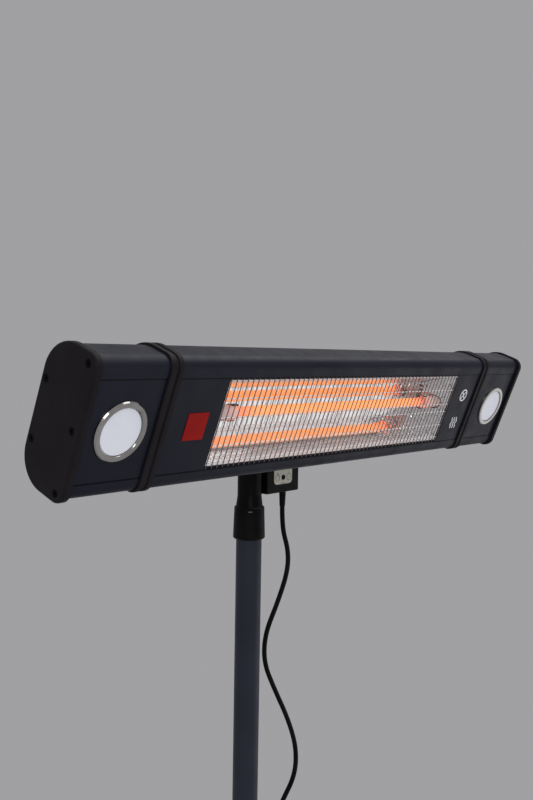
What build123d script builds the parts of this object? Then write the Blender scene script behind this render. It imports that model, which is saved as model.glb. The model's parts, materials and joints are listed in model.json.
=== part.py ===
"""Radiant heater with two built-in lamps, on a floor stand.

Frame: X along the heater's length, -Y is where it faces, +Z up, millimetres.
The origin is on the floor, on the pole's axis.
"""

from build123d import *
import math
import os

os.makedirs("parts", exist_ok=True)

# Fits
slip_gap = 0.25  # a part that slides over or into another
pin_gap = 0.06  # radial play of a turning pin
face_gap = 0.3  # between faces that move past each other
thread_gap = 0.1  # radial play drawn round a screw

# Where the head hangs
head_reach = 168.0  # front panel's centre, ahead of the pole's axis
head_height = 1760.0  # front panel's centre above the floor
head_tilt = 21.0  # the face looks this far down, in degrees

# Housing extrusion and end caps
head_length = 880.0
cap_web = 4.5  # closed end of a cap
cap_cover = 4.0  # how far a cap sleeves over the housing
cap_proud = 2.0
cap_lip = 2.0  # the cap's front stands this much further out
cap_edge = 3.0
housing_depth = 66.0
housing_top = 75.0
housing_bottom = 72.5
housing_wall = 2.0
front_corner = 13.0
back_corner = 34.0
face_opening = 106.8  # height of the slot that the face panels close
ledge_depth = 1.6
ledge_overlap = 2.4
ledge_root = 4.5
port_radius = 4.6
port_merge = 0.4  # how deep a port sits in the wall
port_back_z = 31.0
cap_screw_radius = 2.0
cap_screw_length = 16.0
cap_screw_head = 3.8
cap_screw_sink = 2.6

# Face panels, rings and badge
panel_thickness = 1.6
panel_gap = 0.3
window_length = 500.0
ring_inset_left = 105.5  # a ring's centre from the head's end
ring_inset_right = 118.0
ring_width = 18.0
ring_proud = 2.4
ring_bead = 7.2
ring_neck_proud = 1.0
ring_edge = 1.2
badge_inset = 34.0  # its centre from the window's edge
badge_width = 30.0
badge_height = 31.0
badge_thickness = 0.8

# Round lamps
lamp_inset = 53.4  # a lamp's centre from the head's end
bezel_radius = 32.0
bezel_inner = 25.5
bezel_proud = 2.6
bezel_chamfer = 1.2
bezel_sleeve = 28.6
bezel_sleeve_wall = 1.2
bezel_sleeve_depth = 8.0
lens_lip = 1.6
lens_crown = 1.2
cup_wall = 1.8
cup_depth = 24.0
lamp_board_y = 12.0
lamp_board_thickness = 1.6
lamp_pedestal = 12.0

# Reflector, tube and grille
sheet = 0.8
trough_depth = 43.0
trough_floor = 50.0
trough_mouth = 105.0
trough_flange = 4.0
trough_end_slant = 28.0
tube_diameter = 14.0
tube_wall = 1.2
tube_y = 21.0
tube_z = 3.5
glow_inset = 50.0  # end of the glow from the window's edge
glow_radius = 5.2
glow_tail_radius = 1.0
tube_tail = 6.0  # quartz past the last turn at each end
ceramic_radius = 8.8
ceramic_length = 44.0
ceramic_grip = 12.0
end_hole_gap = 1.5
wire_pitch = 9.0
wire_width = 1.2
wire_rows = (-46.0, -26.5, -5.0, 6.7, 29.0, 50.0)
grille_front = 0.6

# Things inside the housing
bracket_sheet = 1.5
holder_width = 24.0
holder_foot = 9.0
holder_inset = 10.0  # from the window's edge
driver_size = (70.0, 18.0, 28.0)
block_size = (50.0, 14.0, 24.0)
cutout_x = 120.0
cutout_radius = 8.0
cutout_height = 8.0
lead_diameter = 3.0

# Tilt joint
pivot_y = 90.0  # behind the front panel, level with its centre
lug_x = 70.0  # inner face of a lug's ear
lug_sheet = 2.5
lug_round = 14.0
lug_foot = 26.0
lug_screw_radius = 2.4
lug_screw_length = 10.0
lug_screw_spread = 9.0
stud_radius = 4.0
stud_head_radius = 8.0
stud_head = 4.0
washer_radius = 9.0
washer_thickness = 1.5
knob_radius = 18.0
knob_length = 20.0
knob_bore_depth = 16.8
knob_lobes = 6
knob_scallop = 5.0
knob_edge = 1.5
strap_sheet = 2.5
strap_width = 30.0
strap_bend = 6.0
gland_x = 25.0
gland_z = -15.0
gland_radius = 8.0
gland_length = 18.0
gland_bore = 3.4

# Stand
post_size = 32.0
post_corner = 14.0
post_above_strap = 6.0
cone_top = 16.7
cone_bottom = 18.9
cone_length = 18.0
spigot_length = 80.0
collar_top_radius = 20.9
collar_bottom_radius = 22.3
collar_over_cone = 2.5
collar_length = 45.0
collar_chamfer = 1.5
pole_radius = 17.8
pole_wall = 1.5
pole_split = 830.0
coupler_length = 160.0
bolt_radius = 4.0
bolt_length = 13.0
bolt_flats = 13.0
bolt_head = 5.3
strap_bolt_spread = 8.0
base_radius = 250.0
base_thickness = 8.0
base_edge = 3.0
foot_height = 5.0
foot_radius = 15.0
foot_count = 6
foot_circle = 225.0
flange_radius = 55.0
flange_thickness = 6.0
flange_bolts = 3
flange_circle = 40.0
socket_wall = 4.0
socket_height = 76.0
socket_edge = 2.0

# Control box on the post
box_width = 71.0
box_front = 18.3  # ahead of the pole's axis
box_depth = 40.0
box_drop = 119.0  # its underside below the front panel's centre
box_height = 75.0
box_wall = 2.2
box_lid = 3.0
box_edge = 2.0
box_screw_inset = 5.5
box_post_radius = 3.2
box_screw_radius = 1.5
box_screw_length = 12.0
box_screw_head = 2.8
box_screw_sink = 1.8
plate_x = 51.0
plate_width = 40.0
plate_height = 36.0
plate_bottom = 12.0  # above the box's underside
plate_corner = 6.0
plate_thickness = 0.8
plate_pocket = 0.4
button_radius = 3.5
button_height = 9.3  # above the plate's lower edge
button_proud = 1.2
button_travel = 1.0
button_flange = 5.0
button_flange_thickness = 1.2
button_stem = 3.5
board_thickness = 1.6
board_y = -6.0
board_margin = 6.0
top_grommet_radius = 7.0
top_grommet_height = 6.0

# Mains cord
cord_diameter = 7.0
relief_x = 62.0
relief_y = -9.0
relief_length = 22.0
relief_radius = 4.8
relief_collar = 7.0
coil_x = 14.0
coil_y = 334.0
coil_radius = 46.0
coil_gap = 0.6
coil_layer_turns = 2
coil_last_turn = 1.75
coil_height = 3.6  # axis of the lowest turn above the floor
plug_radius = 18.0
plug_length = 40.0
plug_neck = 22.0
plug_nose = 12.0
pin_radius = 2.4
pin_length = 19.0
pin_spacing = 19.0
tail_length = 56.0
tail_square = 17.0

# What follows from them
ring_centres = {-1: head_length / 2 - ring_inset_left, 1: head_length / 2 - ring_inset_right}
lamp_x = head_length / 2 - lamp_inset
badge_x = -window_length / 2 - badge_inset
trough_end_back = window_length / 2 - trough_end_slant
glow_length = window_length - 2 * glow_inset
holder_x = window_length / 2 - holder_inset
wire_count = int((window_length - 2 * panel_gap - wire_width) / wire_pitch) + 1
box_bottom = head_height - box_drop
post_bottom = box_bottom
housing_half = head_length / 2 - cap_web
port_corner = (front_corner - housing_wall - port_radius + port_merge) / math.sqrt(2)
port_front_y = front_corner - port_corner
port_top_z = housing_top - front_corner + port_corner
port_bottom_z = front_corner - housing_bottom - port_corner
port_back_y = housing_depth - housing_wall - port_radius + port_merge
boss_y = housing_wall + port_radius + 0.6
cap_screws = [
    (port_front_y, port_top_z),
    (port_front_y, port_bottom_z),
    (port_back_y, port_back_z),
    (port_back_y, -port_back_z),
    (boss_y, 0.0),
]
tube_radius = tube_diameter / 2
tube_half = glow_length / 2 + tube_tail + ceramic_grip
ceramic_start = glow_length / 2 + tube_tail
ceramic_end = ceramic_start + ceramic_length
sides = (-1, 1)
names = {-1: "left", 1: "right"}

head_place = Pos(0, -head_reach, head_height) * Rot(head_tilt, 0, 0)
pivot = Vector(0, pivot_y, 0).rotate(Axis.X, head_tilt) + Vector(0, -head_reach, head_height)
strap_back = -post_size / 2
strap_bottom = pivot.Z - strap_width / 2
post_top = pivot.Z + strap_width / 2 + post_above_strap
cone_low = post_bottom - cone_length
pole_top = cone_low - face_gap
base_top = foot_height + base_thickness
socket_top = base_top + socket_height
box_left = post_size / 2
box_y = -box_front
button_z = box_bottom + plate_bottom + button_height

nodes = {}


def add(name, shape):
    """Files a finished piece under its node's name."""
    nodes[name] = shape


def add_head(name, shape):
    """Files a piece that was drawn in the head's own frame."""
    nodes[name] = head_place * shape


def solids(*shapes):
    """Groups separate solids that share one node."""
    return Compound(children=[s for shape in shapes for s in shape.solids()])


def block(x, y, z):
    """A box between two corners, each axis given as (low, high)."""
    size = [b - a for a, b in (x, y, z)]
    return Pos(x[0], y[0], z[0]) * Box(*size, align=(Align.MIN,) * 3)


def rod(start, end, radius):
    """A round bar between two points."""
    start, end = Vector(start), Vector(end)
    along = Plane(origin=start, z_dir=end - start)
    return along * Cylinder(radius, (end - start).length, align=(Align.CENTER, Align.CENTER, Align.MIN))


def ring(start, end, outer, inner):
    """A round tube between two points."""
    return rod(start, end, outer) - rod(start, end, inner)


def turned(profile, origin, axis):
    """A solid turned about a line, from (radius, distance along) points."""
    plane = Plane(origin=origin, z_dir=axis)
    face = make_face(Polyline(*[(r, 0, t) for r, t in profile], close=True))
    return plane * revolve(face, Axis.Z)


def head_outline(grow, lip=0.0):
    """The head's section in its Y and Z, grown outwards on every side, and more in front."""
    front, back = -grow - lip, housing_depth + grow
    top, bottom = housing_top + grow, -housing_bottom - grow
    near, far = front_corner + grow, back_corner + grow
    knee = back - far
    edges = [
        Line((front, bottom + near), (front, top - near)),
        CenterArc((front + near, top - near), near, 180, -90),
        Line((front + near, top), (knee, top)),
        CenterArc((knee, top - far), far, 90, -90),
        Line((back, top - far), (back, bottom + far)),
        CenterArc((knee, bottom + far), far, 0, -90),
        Line((knee, bottom), (front + near, bottom)),
        CenterArc((front + near, bottom + near), near, 270, -90),
    ]
    return make_face(edges)


def head_bar(grow, low, high, lip=0.0):
    """The head's section run along X."""
    return extrude(Plane.YZ.offset(low) * head_outline(grow, lip), high - low)


def make_housing():
    """Extrusion, open along its face, with ledges and screw ports."""
    body = head_bar(0, -housing_half, housing_half)
    body -= head_bar(-housing_wall, -housing_half - 1, housing_half + 1)
    half = face_opening / 2
    along = (-housing_half, housing_half)
    body -= block(along, (-1, housing_wall), (-half, half))
    ledge = (housing_wall, housing_wall + ledge_depth)
    for side in sides:
        span = sorted((side * (half - ledge_overlap), side * (half + ledge_root)))
        body += block(along, ledge, span)
    for y, z in cap_screws[:-1]:
        port = rod((-housing_half, y, z), (housing_half, y, z), port_radius)
        port = port & head_bar(-housing_wall / 2, -housing_half, housing_half)
        bore = rod((-housing_half, y, z), (housing_half, y, z), cap_screw_radius + thread_gap)
        body = body + port - bore
    for side in sides:
        for spread in sides:
            x, z = side * (lug_x - lug_foot / 2), spread * lug_screw_spread
            body -= rod((x, port_back_y, z), (x, housing_depth + 1, z), lug_screw_radius + thread_gap)
    inlet = (gland_x, housing_depth, gland_z)
    body -= rod((gland_x, port_back_y, gland_z), inlet, gland_radius - 2 + thread_gap)
    add_head("housing_extrusion", body)


def make_end_caps():
    """Moulded caps that sleeve over the housing's ends, and their screws."""
    screws = []
    for side in sides:
        end, root, rim = head_length / 2, housing_half, housing_half - cap_cover
        cap = head_bar(cap_proud, rim, end, cap_lip)
        cap = fillet(cap.faces().sort_by(Axis.X)[-1].edges(), cap_edge)
        cap -= head_bar(slip_gap, rim - 1, root)
        for y, z in cap_screws:
            cap -= rod((rim, y, z), (end + 1, y, z), cap_screw_radius + thread_gap)
            cap -= rod((end - cap_screw_sink, y, z), (end + 1, y, z), cap_screw_head + slip_gap)
            seat = end - cap_screw_sink
            screw = rod((seat, y, z), (seat - cap_screw_length, y, z), cap_screw_radius)
            head = rod((seat, y, z), (end - 0.4, y, z), cap_screw_head)
            head = fillet(head.edges().group_by(Axis.X)[-1], 0.8)
            slot = block((end - 1.2, end), (y - 2.4, y + 2.4), (z - 0.5, z + 0.5))
            cross = block((end - 1.2, end), (y - 0.5, y + 0.5), (z - 2.4, z + 2.4))
            screw = screw + head - slot - cross
            screws.append(screw if side > 0 else mirror(screw, Plane.YZ))
        add_head(f"end_cap_{names[side]}", cap if side > 0 else mirror(cap, Plane.YZ))
    add_head("end_cap_screws", solids(*screws))


def make_rings():
    """Double-beaded rings that cover the joints between the panels."""
    for side in sides:
        low = ring_centres[side] - ring_width / 2
        high = low + ring_width
        beads = []
        for start in (low, high - ring_bead):
            bead = head_bar(ring_proud, start, start + ring_bead)
            faces = bead.faces().sort_by(Axis.X)
            beads.append(fillet(faces[0].edges() + faces[-1].edges(), ring_edge))
        hoop = beads[0] + beads[1] + head_bar(ring_neck_proud, low + 1, high - 1)
        hoop -= head_bar(slip_gap, low - 1, high + 1)
        add_head(f"divider_ring_{names[side]}", hoop if side > 0 else mirror(hoop, Plane.YZ))


def make_panels():
    """Flat strips that close the face beside the window and round the lamps."""
    half = face_opening / 2 - panel_gap
    depth = (housing_wall - panel_thickness, housing_wall)
    for side in sides:
        joint = ring_centres[side]
        face = block((window_length / 2, joint - panel_gap / 2), depth, (-half, half))
        pod = block((joint + panel_gap / 2, housing_half), depth, (-half, half))
        pod -= rod((lamp_x, -1, 0), (lamp_x, housing_wall + 1, 0), bezel_sleeve + slip_gap)
        boss = (housing_half - cap_screw_length, housing_half)
        pod += block(boss, (housing_wall, boss_y + port_radius), (-port_radius, port_radius))
        pod -= rod((boss[0] - 1, boss_y, 0), (boss[1] + 1, boss_y, 0), cap_screw_radius + thread_gap)
        if side < 0:
            face, pod = mirror(face, Plane.YZ), mirror(pod, Plane.YZ)
        add_head(f"face_panel_{names[side]}", face)
        add_head(f"lamp_panel_{names[side]}", pod)
    front = housing_wall - panel_thickness
    badge = Plane.XZ.offset(-front) * Pos(badge_x, 0) * RectangleRounded(badge_width, badge_height, 1)
    add_head("badge_plate", extrude(badge, badge_thickness))


def make_lamps():
    """Bezel, lens, board and heat-sink cup of each round lamp."""
    face = housing_wall - panel_thickness
    sleeve_bore = bezel_sleeve - bezel_sleeve_wall
    cup_bore = bezel_sleeve + slip_gap
    cup_back = housing_wall + cup_depth
    boards, cups = [], []
    for side in sides:
        centre = (side * lamp_x, face, 0)
        inward = (0, 1, 0)
        bezel = turned(
            [
                (bezel_inner, -bezel_proud + bezel_chamfer / 2),
                (bezel_inner + bezel_chamfer / 2, -bezel_proud),
                (bezel_radius - bezel_chamfer, -bezel_proud),
                (bezel_radius, -bezel_proud + bezel_chamfer),
                (bezel_radius, 0),
                (bezel_sleeve, 0),
                (bezel_sleeve, bezel_sleeve_depth),
                (sleeve_bore, bezel_sleeve_depth),
                (sleeve_bore, 0),
                (bezel_inner, 0),
            ],
            centre,
            inward,
        )
        rim = bezel_inner - slip_gap
        lens = rod(centre, (centre[0], face + lens_lip, 0), sleeve_bore - slip_gap)
        crown = Pos(centre[0], face, 0) * Rot(90, 0, 0) * Cylinder(
            rim, lens_crown, align=(Align.CENTER, Align.CENTER, Align.MIN)
        )
        lens += fillet(crown.edges().group_by(Axis.Y)[0], lens_crown * 0.7)
        cup = ring((side * lamp_x, housing_wall, 0), (side * lamp_x, cup_back, 0), cup_bore + cup_wall, cup_bore)
        cup += rod((side * lamp_x, cup_back - cup_wall, 0), (side * lamp_x, cup_back, 0), cup_bore + cup_wall)
        board_back = lamp_board_y + lamp_board_thickness
        cup += rod((side * lamp_x, board_back, 0), (side * lamp_x, cup_back, 0), lamp_pedestal)
        board = rod((side * lamp_x, lamp_board_y, 0), (side * lamp_x, board_back, 0), cup_bore - slip_gap)
        for angle in range(0, 360, 60):
            x = side * lamp_x + 15 * math.cos(math.radians(angle))
            z = 15 * math.sin(math.radians(angle))
            board += block((x - 1.8, x + 1.8), (lamp_board_y - 0.8, lamp_board_y), (z - 1.8, z + 1.8))
        add_head(f"lamp_bezel_{names[side]}", bezel)
        add_head(f"lamp_lens_{names[side]}", lens)
        boards.append(board)
        cups.append(cup)
    add_head("lamp_boards", solids(*boards))
    add_head("lamp_cups", solids(*cups))


def trough_points(inset):
    """Inside of the reflector's section, drawn in by a distance."""
    mouth_y = housing_wall + ledge_depth + sheet / 2
    mouth, floor = trough_mouth / 2 - inset, trough_floor / 2 - inset
    back = trough_depth - inset
    return [(mouth_y, mouth), (back, floor), (back, -floor), (mouth_y, -mouth)]


def make_reflector():
    """Bent trough behind the tube, and the slanting plate at each end."""
    half = window_length / 2
    inside = trough_points(0)
    lip = trough_flange
    path = [(inside[0][0], inside[0][1] + lip), *inside, (inside[-1][0], inside[-1][1] - lip)]
    strip = trace(Polyline(*path), line_width=sheet)
    add_head("reflector_trough", extrude(Plane.YZ.offset(-half) * strip, 2 * half))
    room = make_face(Polyline(*trough_points(sheet / 2 + 0.15), close=True))
    prism = extrude(Plane.YZ.offset(-half) * room, 2 * half)
    front, back = inside[0][0], trough_depth
    across = sheet * 1.2
    for side in sides:
        slab = make_face(
            Polyline(
                (side * trough_end_back, back),
                (side * (half - across), front),
                (side * half, front),
                (side * (trough_end_back + across), back),
                close=True,
            )
        )
        plate = extrude(slab, trough_mouth, both=True) & prism
        span = ((side * ceramic_start, tube_y, tube_z), (side * ceramic_end, tube_y, tube_z))
        plate -= rod(*span, ceramic_radius + end_hole_gap)
        add_head(f"reflector_end_{names[side]}", plate)


def biarc(start, start_way, end, end_way):
    """Two arcs, each touching the next, between two points with given directions."""
    across, ways = end - start, start_way + end_way
    bend = 2 * (1 - start_way.dot(end_way))
    along = across.dot(ways)
    reach = (math.sqrt(along**2 + bend * across.dot(across)) - along) / bend
    near, far = start + start_way * reach, end - end_way * reach
    middle = (near + far) * 0.5
    way = (far - near).normalized()
    return [TangentArc(start, middle, tangent=start_way), TangentArc(middle, end, tangent=way)]


def wound_tube(stations, radius, lead_in=0.0, lead_out=0.0):
    """An unbroken tube through (point, direction) stations, a biarc between each pair."""
    edges = []
    first, first_way = stations[0]
    last, last_way = stations[-1]
    if lead_in:
        edges.append(Line(first - first_way * lead_in, first))
    for (a, a_way), (b, b_way) in zip(stations, stations[1:]):
        edges += biarc(a, a_way, b, b_way)
    if lead_out:
        edges.append(Line(last, last + last_way * lead_out))
    wire = Wire(edges)
    start = first - first_way * lead_in
    section = Plane(origin=start, z_dir=first_way) * Circle(radius)
    return sweep(section, path=wire)


def least_gap(points, diameter, apart):
    """Least clear gap between stretches of a line that lie further apart along it."""
    least = math.inf
    for i, p in enumerate(points):
        for q in points[i + apart :]:
            least = min(least, (p - q).length)
    return least - diameter


def make_element():
    """Quartz tube, the wound element inside it and the ceramic ends."""
    glow = ((-glow_length / 2, tube_y, tube_z), (glow_length / 2, tube_y, tube_z))
    tail = ((-tube_half, tube_y, tube_z), (tube_half, tube_y, tube_z))
    add_head("heating_element", rod(*glow, glow_radius) + rod(*tail, glow_tail_radius))
    tube = ring((-tube_half, tube_y, tube_z), (tube_half, tube_y, tube_z), tube_radius, tube_radius - tube_wall)
    add_head("quartz_tube", tube)
    ends = []
    for side in sides:
        start = (side * ceramic_start, tube_y, tube_z)
        seat = (side * (ceramic_start + ceramic_grip), tube_y, tube_z)
        end = (side * ceramic_end, tube_y, tube_z)
        ends.append(rod(start, end, ceramic_radius) - rod(start, seat, tube_radius + thread_gap))
    add_head("tube_ceramics", solids(*ends))


def make_grille():
    """Wire grille across the window, as one holed sheet with bent edges."""
    half = (wire_count - 1) * wire_pitch / 2
    reach = face_opening / 2 - panel_gap
    bars = []
    for row in wire_rows:
        bars.append(Pos(0, row) * Rectangle(window_length - 2 * panel_gap, wire_width))
    for count in range(wire_count):
        x = count * wire_pitch - half
        bars.append(Pos(x, 0) * Rectangle(wire_width, 2 * reach))
    holed = Sketch() + bars
    add_head("front_grille", extrude(Plane.XZ.offset(-grille_front) * holed, -wire_width))


def make_head_insides():
    """Lamp holders, lamp driver, terminal block, cut-out and wiring."""
    back = housing_depth - housing_wall
    floor = trough_depth - sheet / 2
    for side in sides:
        inner = side * holder_x
        plate_x_span = sorted((inner, inner + side * bracket_sheet))
        z = (tube_z - holder_width / 2, tube_z + holder_width / 2)
        plate = block(plate_x_span, (tube_y, floor), z)
        foot_x = sorted((inner, inner + side * holder_foot))
        plate += block(foot_x, (floor - bracket_sheet, floor), z)
        ends = ((inner - side, tube_y, tube_z), (inner + 3 * side, tube_y, tube_z))
        plate -= rod(*ends, ceramic_radius + thread_gap)
        add_head(f"tube_holder_{names[side]}", plate)
    long, deep, tall = driver_size
    driver_x = (-lamp_x - long / 2 + 10, -lamp_x + long / 2 + 10)
    driver = block(driver_x, (back - deep, back), (-tall / 2, tall / 2))
    add_head("lamp_driver", fillet(driver.edges().filter_by(Axis.Y), 2))
    long, deep, tall = block_size
    terminal_x = (lamp_x - long / 2 - 15, lamp_x + long / 2 - 15)
    terminals = block(terminal_x, (back - deep, back), (-tall / 2, tall / 2))
    for count in range(4):
        x = terminal_x[0] + long * (count + 0.5) / 4
        for z in (-tall / 4, tall / 4):
            terminals -= rod((x, back - deep - 1, z), (x, back - deep + 5, z), 2.5)
    add_head("terminal_block", terminals)
    sheet_back = trough_depth + sheet / 2
    cutout = rod((cutout_x, sheet_back, 0), (cutout_x, sheet_back + cutout_height, 0), cutout_radius)
    ears = (cutout_x - 2 * cutout_radius, cutout_x + 2 * cutout_radius)
    cutout += block(ears, (sheet_back, sheet_back + 1.2), (-5, 5))
    add_head("thermal_cutout", cutout)
    make_wiring(driver_x[1], terminal_x[0], back)


def tube_along(points, diameter):
    """A tube on straight runs joined by the largest tangent arcs that they allow."""
    points = [Vector(p) for p in points]
    runs = [(b - a).length for a, b in zip(points, points[1:])]
    radii = []
    for a, b, c, before, after in zip(points, points[1:], points[2:], runs, runs[1:]):
        turn = math.radians((b - a).get_angle(c - b))
        radii.append(0.45 * min(before, after) / math.tan(turn / 2))
    path = FilletPolyline(*points, radius=radii)
    section = Plane(origin=points[0], z_dir=points[1] - points[0]) * Circle(diameter / 2)
    tube = sweep(section, path=path)
    straight = path.length * math.pi * diameter**2 / 4
    return tube, radii, path.length, tube.volume / straight


def make_wiring(driver_end, terminal_end, back):
    """Leads that the housing holds all the way."""
    behind = (trough_depth + back) / 2
    low, high = -20.0, 20.0
    square = 12.0
    leads = [
        [
            (-ceramic_end, tube_y, tube_z),
            (-ceramic_end - 14, tube_y, tube_z),
            (-ceramic_end - 22, tube_y + 14, -9),
            (-ceramic_end - 4, behind - 4, low + 1),
            (-glow_length / 2, behind, low),
            (-60, behind + 1, low - 1),
            (80, behind, low),
            (trough_end_back, behind + 1, low - 1),
            (ring_centres[1] - 28, behind, low + 2),
            (terminal_end - square, behind + 2, -6),
            (terminal_end, behind + 2, -6),
        ],
        [
            (ceramic_end, tube_y, tube_z),
            (ceramic_end + 24, tube_y, tube_z),
            (ceramic_end + 48, tube_y + 22, tube_z + 3),
            (terminal_end - square, behind + 2, 6),
            (terminal_end, behind + 2, 6),
        ],
        [
            (driver_end, behind, 6),
            (driver_end + square, behind, 6),
            (driver_end + 34, behind + 1, 10),
            (driver_end + 70, behind, high - 2),
            (-120, behind - 1, high),
            (30, behind, high + 1),
            (180, behind - 1, high),
            (ring_centres[1] - 38, behind, high - 3),
            (terminal_end - square, behind + 2, 10),
            (terminal_end, behind + 2, 10),
        ],
    ]
    cup_back = housing_wall + cup_depth
    drops = [
        rod((-lamp_x, cup_back, 6), (-lamp_x, back - driver_size[1], 6), lead_diameter / 2),
        rod((lamp_x, cup_back, 6), (lamp_x, back - block_size[1], 6), lead_diameter / 2),
    ]
    tubes = [tube_along(points, lead_diameter)[0] for points in leads]
    add_head("head_wiring", solids(*tubes, *drops))


def make_tilt_joint():
    """Lugs and studs on the head, the strap on the post and the two knobs."""
    back = housing_depth
    ear = (back, pivot_y)
    studs, screws = [], []
    for side in sides:
        x = sorted((side * lug_x, side * (lug_x + lug_sheet)))
        lug = block(x, ear, (-lug_round, lug_round))
        lug += rod((x[0], pivot_y, 0), (x[1], pivot_y, 0), lug_round)
        foot = sorted((side * (lug_x + lug_sheet), side * (lug_x - lug_foot)))
        lug += block(foot, (back, back + lug_sheet), (-lug_round, lug_round))
        lug -= rod((x[0] - 1, pivot_y, 0), (x[1] + 1, pivot_y, 0), stud_radius + thread_gap)
        for spread in sides:
            sx, sz = side * (lug_x - lug_foot / 2), spread * lug_screw_spread
            seat = back + lug_sheet
            lug -= rod((sx, back - 1, sz), (sx, seat + 1, sz), lug_screw_radius + thread_gap)
            head = rod((sx, seat, sz), (sx, seat + 2.6, sz), lug_screw_radius * 1.9)
            head = fillet(head.edges().group_by(Axis.Y)[-1], 1)
            screws.append(head + rod((sx, seat, sz), (sx, seat - lug_screw_length, sz), lug_screw_radius))
        add_head(f"tilt_lug_{names[side]}", lug)
        arm_in = lug_x + lug_sheet + face_gap
        washer_in = arm_in + strap_sheet + face_gap
        knob_in = washer_in + washer_thickness + face_gap
        stud_end = knob_in + knob_bore_depth - face_gap
        stud = rod((side * lug_x, pivot_y, 0), (side * stud_end, pivot_y, 0), stud_radius)
        head = rod((side * lug_x, pivot_y, 0), (side * (lug_x - stud_head), pivot_y, 0), stud_head_radius)
        stud += fillet(head.edges().group_by(Axis.X)[0 if side > 0 else -1], 2)
        washer = ring(
            (side * washer_in, pivot_y, 0),
            (side * (washer_in + washer_thickness), pivot_y, 0),
            washer_radius,
            stud_radius + thread_gap,
        )
        studs += [stud, washer]
        make_knob(side, knob_in)
    add_head("lug_screws", solids(*screws))
    add_head("pivot_studs", solids(*studs))
    gland = (gland_x, back, gland_z)
    tail = (gland_x, back + gland_length, gland_z)
    body = rod(gland, tail, gland_radius) + rod(gland, (gland_x, back - 6, gland_z), gland_radius - 2)
    nut = Plane(origin=(gland_x, back + 2, gland_z), z_dir=(0, 1, 0)) * extrude(
        RegularPolygon(gland_radius + 2.5, 6), 6
    )
    body = chamfer(body.edges().group_by(Axis.Y)[-1], 1.5) + nut
    body -= rod((gland_x, back - 7, gland_z), (gland_x, back + gland_length + 1, gland_z), gland_bore)
    add_head("head_gland", body)
    make_strap(arm_in)


def make_knob(side, start):
    """A lobed hand knob that screws on a stud."""
    outline = Circle(knob_radius)
    for count in range(knob_lobes):
        angle = math.radians((count + 0.5) * 360 / knob_lobes)
        out = knob_radius + knob_scallop * 0.45
        outline -= Pos(out * math.cos(angle), out * math.sin(angle)) * Circle(knob_scallop)
    knob = extrude(outline, knob_length)
    knob = fillet(knob.faces().sort_by(Axis.Z)[-1].edges(), knob_edge)
    knob -= Cylinder(stud_radius + pin_gap, knob_bore_depth, align=(Align.CENTER, Align.CENTER, Align.MIN))
    place = Plane(origin=(side * start, pivot_y, 0), z_dir=(side, 0, 0))
    add_head(f"tilt_knob_{names[side]}", place * knob)


def make_strap(arm_in):
    """The U of steel strap between the post and the studs."""
    low, high = strap_bottom, strap_bottom + strap_width
    outer = arm_in + strap_sheet
    path = Polyline(
        (-outer + strap_sheet / 2, pivot.Y),
        (-outer + strap_sheet / 2, strap_back - strap_sheet / 2),
        (outer - strap_sheet / 2, strap_back - strap_sheet / 2),
        (outer - strap_sheet / 2, pivot.Y),
    )
    bent = FilletPolyline(*[v.center() for v in path.vertices()], radius=strap_bend)
    strip = trace(bent, line_width=strap_sheet)
    strap = extrude(Pos(0, 0, low) * strip, high - low)
    for side in sides:
        x = sorted((side * arm_in, side * outer))
        strap += rod((x[0], pivot.Y, pivot.Z), (x[1], pivot.Y, pivot.Z), strap_width / 2)
        hole = ((x[0] - 1, pivot.Y, pivot.Z), (x[1] + 1, pivot.Y, pivot.Z))
        strap -= rod(*hole, stud_radius + pin_gap)
        z = pivot.Z + side * strap_bolt_spread
        strap -= rod((0, strap_back - 10, z), (0, strap_back + 1, z), bolt_radius + slip_gap)
    add("tilt_strap", strap)


def hex_bolt(seat, way):
    """A hexagon-headed bolt: its head's underside is at the seat, its shank runs along a direction."""
    plane = Plane(origin=seat, z_dir=way)
    shank = Cylinder(bolt_radius, bolt_length, align=(Align.CENTER, Align.CENTER, Align.MIN))
    head = extrude(RegularPolygon(bolt_flats / 2, 6, major_radius=False), -bolt_head)
    return plane * (shank + head)


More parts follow.
